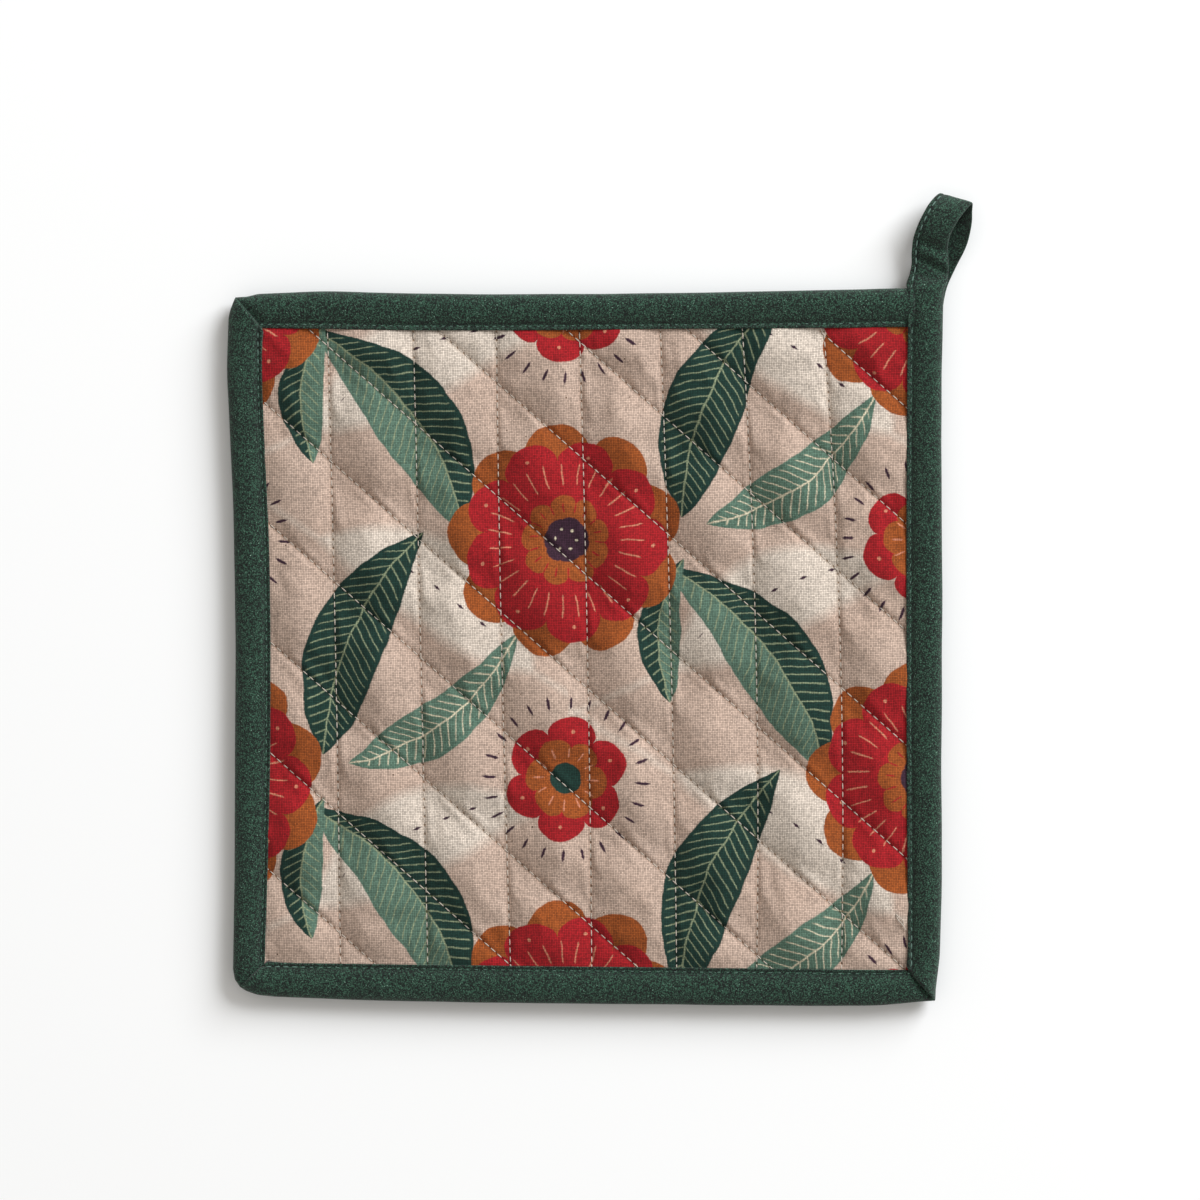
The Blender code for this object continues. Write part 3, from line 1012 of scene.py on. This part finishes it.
# the binding is cut on the bias, so its threads run at 45 degrees to its length
def makeGreenCotton():
    material, start = newMaterial("greenCotton")
    place = clothPlace(start)
    x, y = place.part(0), place.part(1)
    values = greenWeave
    bias = ((x + y) * values["biasTurn"]).joined((y - x) * values["biasTurn"])
    patchy = place.noise(values["patchScale"], 5.0)
    colour = patchy.between(tones["green"], tones["lightGreen"])
    lint = (bias.noise(values["lintScale"], 3.0) - values["lintFrom"]).edge(values["lintSoft"])
    colour = lint.between(colour, tones["greenLint"])
    # painted shade in the groove and needle holes along the binding's row of stitches
    middle, stitched = stripAround[len(stripAround) // 2], stripAround[stitchedRow]
    aside = ((y + (clothMiddle - middle)).size() - (middle - stitched)).size()
    marks = seamDentsAndShade(aside, (x + clothMiddle) / stitching["pitch"], topHolesAndShade)
    return clothMaterial(material, bias, colour, marks, values)


# sewing thread: two strands twisted together
threadLook = {
    "strands": 2,
    "turns": 5,
    "relief": 0.05,  # mm
    # share of the thread's colour left in the painted shade between strands
    "strandGrooveShade": 0.72,
    "roughness": 0.7,
    "sheen": 0.1,
    "sheenRoughness": 0.5,
    "specular": 0.3,
}


def makeThread(name, tone):
    material, start = newMaterial(name)
    flat = start.node("ShaderNodeUVMap", {"uv_map": "thread"})
    twist = flat.part(0) * threadLook["strands"] + flat.part(1) * threadLook["turns"]
    twist = (twist * (2 * math.pi)).sine() * 0.5 + 0.5
    # painted shade in the groove between the twisted strands, where the relief is lowest
    dark = [value * threadLook["strandGrooveShade"] for value in tones[tone][:3]]
    colour = twist.between([*dark, 1.0], tones[tone])
    finishCloth(start, colour, twist * threadLook["relief"], threadLook)
    return material


# the strip: one length of cloth that binds the pad and runs on as the hanging loop
strip = {
    "flatWidth": 0.0425,  # m, the strip as it was cut, both hems opened out
    "width": 10.0,  # mm, folded
    "ply": 0.28,
    "step": 1.0,  # mm between two cross-sections
    "middle": 4.0,  # mm, height of the pad's edge above the ground
    "under": 0.96,  # how deep the lower half of the fold is beside the upper
    "underCrown": 0.62,  # and how far its crown stands out
    "overlap": 1.4,  # mm that a mitre's lower layer runs on under the upper one
    # that layer's cross-sections: share of the overlap, and mm over the side's face
    "underFold": ((0.5, -0.40), (1.0, -0.34), (1.05, -0.20), (0.5, -0.08), (0.0, -0.05)),
    "closer": (0.2, 0.4, 0.7),  # mm from the fold, where more cross-sections lie
    "mitreRise": 1.0,
    "mitreSlope": 3.4,
    "foldRound": 0.45,  # mm over which the fold at a mitre is rounded
    "riseOutside": 0.1,  # share of the rise at the outer edge
    "riseOver": 0.35,  # share of the width over which it grows to the whole
    "mitrePress": 0.92,  # how flat a side's end is pressed under the next side
    "pressLength": 2.3,
    "pressedTo": 1.62,
    "stitchDip": 0.28,
    "dipWidth": 0.6,
    "cover": 0.8,  # mm that the right side's inner edge rides up over the top side's end
    "coverFrom": 13.0,  # mm before the end of the right side
    "coverRamp": 3.5,
    "coverEnd": 5.0,  # mm of the loop over which it comes down again
    "coverOver": (0.35, 0.85),  # shares of the width between which it grows
    "crownWave": 0.16,  # soft uneven waves of the crown, up to the hem
    "crownLength": 11.0,
    "crownAcross": 1.5,  # waves across the width
    "hemFrom": 0.85,
    "tapeSwell": 0.5,  # how much less the closed tape waves and dips
    "edgeWave": 0.12,
    "edgeLength": 16.0,
    "edgeSeed": 7.0,
    "openAt": 4.6,  # thickness in mm at which the fold is open round the pad
    "closedAt": 1.3,  # and at which it is a closed tape
    "sagShape": 0.7,  # lower brings the tape's deepest sag nearer the outer edge
}
foldSection = (
    # share of the width in from the outer edge, height round the pad, height in the tape, mm
    (0.22, 1.40, 0.15),
    (0.55, 1.40, 0.15),
    (0.84, 1.39, 0.15),
    (0.95, 1.43, 0.16),
    (0.99, 1.51, 0.21),
    (1.00, 1.62, 0.30),
    (0.99, 1.74, 0.40),
    (0.97, 1.82, 0.46),
    (0.945, 1.79, 0.47),
    (0.92, 1.66, 0.42),
    (0.895, 1.57, 0.38),  # pressed down by the stitches
    (0.865, 1.64, 0.40),
    (0.82, 1.84, 0.45),
    (0.74, 2.20, 0.48),
    (0.64, 2.59, 0.46),
    (0.53, 2.86, 0.45),
    (0.42, 2.98, 0.45),
    (0.31, 2.93, 0.45),
    (0.21, 2.69, 0.45),
    (0.13, 2.31, 0.44),
    (0.07, 1.85, 0.40),
    (0.03, 1.31, 0.31),
    (0.005, 0.72, 0.18),
    (0.00, 0.00, 0.00),
)
stitchedRow = 10
loopStations = (
    # the tape's middle: left x, y, z, right x, y, z, thickness, sag between them, mm
    (88.4, 88.8, 4.00, 98.5, 88.8, 4.00, 4.6, 0.0),
    (88.0, 90.6, 4.05, 99.1, 90.2, 4.05, 3.9, 0.0),
    (88.8, 93.2, 4.25, 99.6, 92.2, 4.25, 2.4, 0.0),
    (89.4, 96.2, 4.45, 99.7, 95.0, 4.45, 1.6, -0.1),
    (89.4, 99.4, 4.90, 99.6, 98.0, 4.90, 1.4, -0.2),
    (89.7, 102.8, 6.10, 99.4, 101.2, 6.00, 1.4, -0.2),
    (90.7, 106.4, 7.85, 100.0, 104.2, 7.70, 1.4, -0.1),
    (92.4, 110.2, 8.70, 101.6, 107.5, 8.60, 1.4, 0.0),
    (94.5, 113.6, 7.90, 103.9, 110.7, 8.20, 1.3, 0.0),
    (97.3, 116.1, 5.10, 106.4, 113.4, 6.60, 1.3, 0.4),
    (98.9, 114.0, 1.90, 106.4, 111.2, 6.00, 1.2, 2.0),
    (96.8, 110.4, 0.80, 106.2, 107.4, 6.20, 1.2, 2.6),
    (94.6, 103.9, 0.70, 104.8, 101.4, 4.40, 1.2, 1.3),
    (91.6, 96.6, 0.68, 101.7, 94.9, 1.90, 1.2, 0.4),
    (88.9, 88.6, 0.68, 99.0, 88.0, 0.68, 1.2, 0.0),
    (87.6, 76.5, 0.68, 97.4, 76.5, 0.68, 1.2, 0.0),
)
loopCreases = (
    # across the front of the loop's root: x and y of both ends, depth, half width, mm
    (91.0, 103.0, 99.6, 99.4, -0.70, 1.4),
    (92.0, 100.3, 99.8, 96.0, 0.55, 1.1),
    (92.0, 97.6, 99.9, 93.0, -0.85, 1.0),
    (89.8, 94.2, 95.5, 91.8, -0.45, 0.9),
)


# a smooth curve through evenly spaced rows, with t from 0 to 1
def smoothThrough(rows, t):
    place = min(max(t, 0.0), 1.0) * (len(rows) - 1)
    i = min(int(place), len(rows) - 2)
    f = place - i
    before, start = rows[max(i - 1, 0)], rows[i]
    end, after = rows[i + 1], rows[min(i + 2, len(rows) - 1)]
    return 0.5 * (
        2 * start
        + (end - before) * f
        + (2 * before - 5 * start + 4 * end - after) * f**2
        + (3 * start - before - 3 * end + after) * f**3
    )


# a cross-section: where its left (inner) and right (outer) edge lie, and how it is shaped
plainStation = {
    "up": np.array((0.0, 0.0, 1.0)),
    "closed": 0.0,
    "rise": 0.0,
    "pressed": 0.0,
    "sag": 0.0,
    "cover": 0.0,
    "turned": False,  # in a mitre's lower layer
    "front": False,  # on the loop's front
}


# the cross-sections of one side, from its start
def sideStations(number):
    stations = []
    alongs = edges[number]["outer"][0]
    length = abs(alongs[-1] - alongs[0])
    count = round(length / strip["step"])
    shares = [(i / count, None) for i in range(count + 1)]
    if number:  # the mitre: this side's cloth comes from under itself, folded back
        under = [(strip["overlap"] / length * share, rise) for share, rise in strip["underFold"]]
        closer = [(part / length, None) for part in strip["closer"]]
        shares = under + shares[:1] + closer + shares[1:]
    for share, rise in shares:
        station = {**plainStation, "side": number, "turned": rise is not None}
        fromFold, toEnd = share * length, (1 - share) * length
        if rise is None:
            slope = math.exp(-fromFold / strip["mitreSlope"])
            slope *= 1 - math.exp(-((fromFold / strip["foldRound"]) ** 2))
            rise = strip["mitreRise"] * slope if number else 0.0
            if number < len(sides) - 1:
                press = math.exp(-((toEnd / strip["pressLength"]) ** 2))
                station["pressed"] = strip["mitrePress"] * press
        station["rise"] = rise
        for edge, which in (("left", "inner"), ("right", "outer")):
            station[edge] = np.array((*edgePoint(number, which, share), strip["middle"]))
        if number == len(sides) - 1:
            nearEnd = (strip["coverFrom"] - toEnd) / strip["coverRamp"]
            station["cover"] = float(smoothStep(nearEnd))
        stations.append(station)
    return stations


def loopSections():
    rows = [np.array(row) for row in loopStations]
    lengths = [np.linalg.norm(a[:6] - b[:6]) / math.sqrt(2) for a, b in zip(rows, rows[1:])]
    length = sum(lengths)
    count = round(length / strip["step"])
    stations = []
    for i in range(1, count + 1):
        t, nudge = i / count, 0.25 / count
        here = smoothThrough(rows, t)
        step = smoothThrough(rows, t + nudge) - smoothThrough(rows, t - nudge)
        left, right, thickness, sag = here[:3], here[3:6], here[6], here[7]
        up = np.cross(right - left, step[:3] + step[3:6])
        closed = (strip["openAt"] - thickness) / (strip["openAt"] - strip["closedAt"])
        stations.append(
            {
                **plainStation,
                "left": left,
                "right": right,
                "up": up / np.linalg.norm(up),
                "closed": float(smoothStep(closed)),
                "sag": sag,
                "cover": float(1 - smoothStep(t * length / strip["coverEnd"])),
                "side": len(sides),
                "front": t < 0.5,
            }
        )
    return stations


# rows of the folded cross-section: share, two heights, and the way out of the fold
def wholeSection():
    upper = np.array(foldSection)
    lower = upper[-2::-1] * (1, 1, -1)
    crown = np.maximum(lower[:, 1] - strip["pressedTo"], 0.0)
    lower[:, 1] = -strip["under"] * (lower[:, 1] - crown) - strip["underCrown"] * crown
    section = np.vstack((upper, lower))
    nominal = np.stack((-section[:, 0] * strip["width"], section[:, 1]), 1)
    along = np.gradient(nominal, axis=0)
    outwards = np.stack((-along[:, 1], along[:, 0]), 1)
    outwards /= np.linalg.norm(outwards, axis=1, keepdims=True)
    return section, outwards, nominal


stripSection, stripOutwards, stripNominal = wholeSection()
stripSteps = np.linalg.norm(np.diff(stripNominal, axis=0), axis=1)
stripAround = np.concatenate(((0.0,), np.cumsum(stripSteps)))  # mm across the strip, folded
sideLength = 220.0  # mm of the strip for each side, in the measure that its cloth is laid by


# how far the creases at the loop's root move a point
def creaseShift(point):
    shift = 0.0
    for x1, y1, x2, y2, depth, half in loopCreases:
        first, run = np.array((x1, y1)), np.array((x2 - x1, y2 - y1))
        along = float((point[:2] - first) @ run / (run @ run))
        away = np.linalg.norm(point[:2] - first - run * min(max(along, 0.0), 1.0))
        shift += depth * math.exp(-((away / half) ** 2))
    return shift


# where every point of the strip's middle layer lies, in mm: cross-section by row
def stripPlaces(stations):
    section, outwards = stripSection, stripOutwards
    run = 0.0
    places = np.zeros((len(stations), len(section), 3))
    for i, station in enumerate(stations):
        if i:
            before = stations[i - 1]
            step = (station["left"] + station["right"] - before["left"] - before["right"]) / 2
            run += float(np.linalg.norm(step))
        station["run"] = run
        across = station["right"] - station["left"]
        across /= np.linalg.norm(across)
        closed, up, rise = station["closed"], station["up"], station["rise"]
        for j, (share, openHeight, tapeHeight) in enumerate(section):
            over = math.copysign(max(abs(openHeight) - strip["pressedTo"], 0.0), openHeight)
            openHeight -= station["pressed"] * over
            height = openHeight * (1 - closed) + tapeHeight * closed
            spot = (run / strip["crownLength"], share * strip["crownAcross"], height)
            crown = math.sin(math.pi * min(share / strip["hemFrom"], 1.0))
            swell = strip["crownWave"] * noise.noise(spot) * crown
            fromStitches = abs(share - section[stitchedRow, 0]) * strip["width"]
            swell -= strip["stitchDip"] * math.exp(-((fromStitches / strip["dipWidth"]) ** 2))
            swell *= 1 - strip["tapeSwell"] * closed
            low, grown = strip["riseOutside"], smoothStep(share / strip["riseOver"])
            swell += rise * (low + (1 - low) * grown)
            first, last = strip["coverOver"]
            lift = station["cover"] * strip["cover"] * smoothStep((share - first) / (last - first))
            lift = math.copysign(lift, openHeight)
            sway = noise.noise((run / strip["edgeLength"], strip["edgeSeed"], 0.0))
            sway *= strip["edgeWave"] * (1 - share)
            out2, out3 = outwards[j]
            places[i, j] = (
                station["right"] * (1 - share)
                + station["left"] * share
                + up * (height + swell * out3 + lift)
                + across * (swell * out2 + sway)
            )
            places[i, j, 2] -= station["sag"] * math.sin(math.pi * share ** strip["sagShape"])
            if station["front"]:
                places[i, j] += up * creaseShift(places[i, j])
    return places


# how far along its cut length each point lies, in mm, with straight threads up to each mitre
def lengthAlong(stations, places):
    flat = np.zeros(places.shape[:2])
    for i, station in enumerate(stations):
        number = min(station["side"], len(sides) - 1)
        if station["side"] < len(sides):
            out = sides[number]["out"]
            way = np.array((-out[1], out[0], 0.0))
            flat[i] = sideLength * (number + 0.5) + places[i] @ way
            last = i
        else:
            flat[i] = flat[last, 0] + station["run"] - stations[last]["run"]
    return flat


def makeStrip(material):
    stations = [station for number in range(len(sides)) for station in sideStations(number)]
    stations += loopSections()
    places = stripPlaces(stations)
    flat = lengthAlong(stations, places)
    lastRow, lastStation = len(stripSection) - 1, len(stations) - 1
    bm = bmesh.new()
    bmesh.ops.create_grid(bm, x_segments=lastStation, y_segments=lastRow, size=0.5)
    onMap = {}
    for vert in bm.verts:
        i, j = gridStep(vert, lastStation, lastRow)
        vert.co = Vector(places[i, j]) * mm
        onMap[vert] = ((flat[i, j] * mm, stripAround[j] * mm),)
    writeMaps(bm, ("flatCloth",), onMap)
    piece = addPiece("binding_and_loop", bm, material)
    wall = piece.modifiers.new("ply", "SOLIDIFY")
    wall.thickness, wall.offset = strip["ply"] * mm, 0.0
    applyModifiers(piece)
    bm = bmesh.new()
    bm.from_mesh(piece.data)
    closeUp(bm, "strip")
    bm.to_mesh(piece.data)
    bm.free()
    piece.data.shade_smooth()
    length = stations[-1]["run"] * mm
    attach(piece, "root")
    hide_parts("edge_binding", "hanging_loop")
    print("strip made, length mm:", round(length / mm), "faces:", len(piece.data.polygons))
    return stations, places, flat


# stitches: short lengths of thread whose ends dive into the cloth
def oneStitch():
    bm = bmesh.new()
    bm.loops.layers.uv.new("thread")
    count = stitching["segments"]
    bmesh.ops.create_uvsphere(bm, u_segments=count, v_segments=count, radius=1.0, calc_uvs=True)
    mesh = bpy.data.meshes.new("oneStitch")
    bm.to_mesh(mesh)
    bm.free()
    return mesh


# one stitch between each two needle holes, which lie at whole pitches of the length along,
# cut short where the row ends
def stitchesAlong(row, facing, along, values):
    order = np.argsort(along)
    row, facing, along = (np.array(table)[order] for table in (row, facing, along))

    def read(table, place):
        return Vector([float(np.interp(place, along, table[:, k])) for k in range(3)])

    stitches = []
    pitch = values["pitch"]
    for number in range(math.floor(along[0] / pitch), math.ceil(along[-1] / pitch)):
        # two sines out of step, so that no two neighbours are alike
        middle = (number + 0.5) * pitch + values["uneven"] * math.sin(number * 2.4)
        half = values["length"] / 2 * (1 + values["uneven"] * math.sin(number * 1.7))
        first, last = max(middle - half, along[0]), min(middle + half, along[-1])
        if last - first > values["shortest"]:
            ends = read(row, first), read(row, last)
            stitches.append((*ends, read(facing, (first + last) / 2).normalized()))
    return stitches


def makeStitches(name, stitches, values, material):
    template = oneStitch()
    bm = bmesh.new()
    for _ in stitches:
        bm.from_mesh(template)
    size = len(template.vertices)
    for number, vert in enumerate(bm.verts):
        start, end, out = stitches[number // size]
        side = out.cross(end - start).normalized()
        share = math.asin(max(-1.0, min(1.0, vert.co.z))) * 2 / math.pi
        ring = vert.co.xy.length
        # blunter than a sphere, and closed at both ends
        full = values["radius"] * ring ** -values["blunt"] if ring > 0.01 else 0.0
        lift = values["lift"] - values["dive"] * share**4 + vert.co.y * full
        vert.co = (start.lerp(end, 0.5 + share / 2) + side * vert.co.x * full + out * lift) * mm
    bpy.data.meshes.remove(template)
    piece = addPiece(name, bm, material)
    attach(piece, "root")
    print(name, "stitches:", len(stitches))


def makeSeamStitches(name, tree, material, fromAbove):
    ups, acrosses = (np.arange(*seamReading[way]) for way in ("up", "across"))
    lines = [[(uprightX(n, y), y, y) for y in ups] for n in range(len(uprightSeams))]
    for n in range(len(slantedSeams)):
        lines.append([(x, slantedY(n, x), x * lean) for x in acrosses])
    down = Vector((0, 0, -1 if fromAbove else 1))
    stitches = []
    for line in lines:  # the points of each seam that show, on the pad's cloth
        shown = [point for point in line if insideBy(*point[:2]) >= -seamReading["underBinding"]]
        starts = [Vector((x, y, 0.0)) * mm - down * rayStart * mm for x, y, _ in shown]
        row = [tree.ray_cast(start, down)[0] / mm for start in starts]
        if len(row) >= seamReading["fewest"]:
            along = [place for _, _, place in shown]
            stitches += stitchesAlong(row, [-down] * len(row), along, stitching)
    makeStitches(name, stitches, stitching, material)


# the row that holds the binding, which runs on up the left edge of the loop
def makeTopStitches(name, stations, places, flat, row, material):
    tangents = np.gradient(places[:, row], axis=0)
    facing = np.cross(places[:, row + 1] - places[:, row - 1], tangents)
    facing /= np.linalg.norm(facing, axis=1, keepdims=True)
    stitches = []
    for number in range(len(sides)):
        reach = (number,) if number < len(sides) - 1 else (number, number + 1)
        shown = [i for i, s in enumerate(stations) if s["side"] in reach and not s["turned"]]
        rows = (places[shown, row], facing[shown], flat[shown, row])
        stitches += stitchesAlong(*rows, topStitching)
    makeStitches(name, stitches, topStitching, material)


# two cut ends of thread left lying on the printed face
looseEnds = {
    "radius": 0.15,
    "cutEnd": 0.15,  # share of the radius at a strand's ends
    "around": 6,
    "steps": 24,
    "twistSteps": 8,  # steps for each length of the thread's map
    "strands": (  # x, y and height over the cloth, mm
        ((84.6, -89.9, -0.1), (85.6, -90.8, 0.5), (86.6, -91.7, 0.3), (86.9, -93.6, 0.2)),
        ((84.7, -90.1, -0.1), (85.3, -91.5, 0.4), (86.3, -92.6, 0.5), (87.6, -94.6, 0.3)),
    ),
}


def makeLooseEnds(tree, material):
    bm = bmesh.new()
    steps, around = looseEnds["steps"], looseEnds["around"]
    made, onMap = 0, {}
    for strand in looseEnds["strands"]:
        rows = [np.array(point) for point in strand]
        middle = [smoothThrough(rows, i / steps) for i in range(steps + 1)]
        for point in middle:
            above = Vector((point[0], point[1], rayStart)) * mm
            point[2] += tree.ray_cast(above, Vector((0, 0, -1)))[0].z / mm + looseEnds["radius"]
        bmesh.ops.create_grid(bm, x_segments=steps, y_segments=around, size=0.5)
        bm.verts.ensure_lookup_table()
        for vert in bm.verts[made:]:
            i, j = gridStep(vert, steps, around)
            run = Vector(middle[min(i + 1, steps)] - middle[max(i - 1, 0)]).normalized()
            side = run.cross(Vector((0, 0, 1))).normalized()
            turn = 2 * math.pi * j / around
            radius = looseEnds["radius"] * (looseEnds["cutEnd"] if i in (0, steps) else 1.0)
            ring = side * math.cos(turn) + side.cross(run) * math.sin(turn)
            vert.co = (Vector(middle[i]) + ring * radius) * mm
            onMap[vert] = ((j / around, i / looseEnds["twistSteps"]),)
        made = len(bm.verts)
    writeMaps(bm, ("thread",), onMap)
    bmesh.ops.remove_doubles(bm, verts=bm.verts, dist=0.001 * mm)
    bmesh.ops.holes_fill(bm, edges=[edge for edge in bm.edges if edge.is_boundary])
    closeUp(bm, "loose ends")
    piece = addPiece("loose_thread_ends", bm, material)
    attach(piece, "root")


printedCotton = makeCotton("printedCotton", printedPattern)
plainCotton = makeCotton("plainCotton", naturalGround)
greenCotton = makeGreenCotton()
paleThread = makeThread("paleThread", "paleThread")
greenThread = makeThread("greenThread", "greenThread")

padTree = makePad(printedCotton, plainCotton)
makeSeamStitches("face_stitches", padTree, paleThread, True)
makeSeamStitches("back_stitches", padTree, paleThread, False)
makeLooseEnds(padTree, paleThread)
laid = makeStrip(greenCotton)
makeTopStitches("binding_stitches_top", *laid, stitchedRow, greenThread)
underRow = len(stripSection) - 1 - stitchedRow
makeTopStitches("binding_stitches_under", *laid, underRow, greenThread)
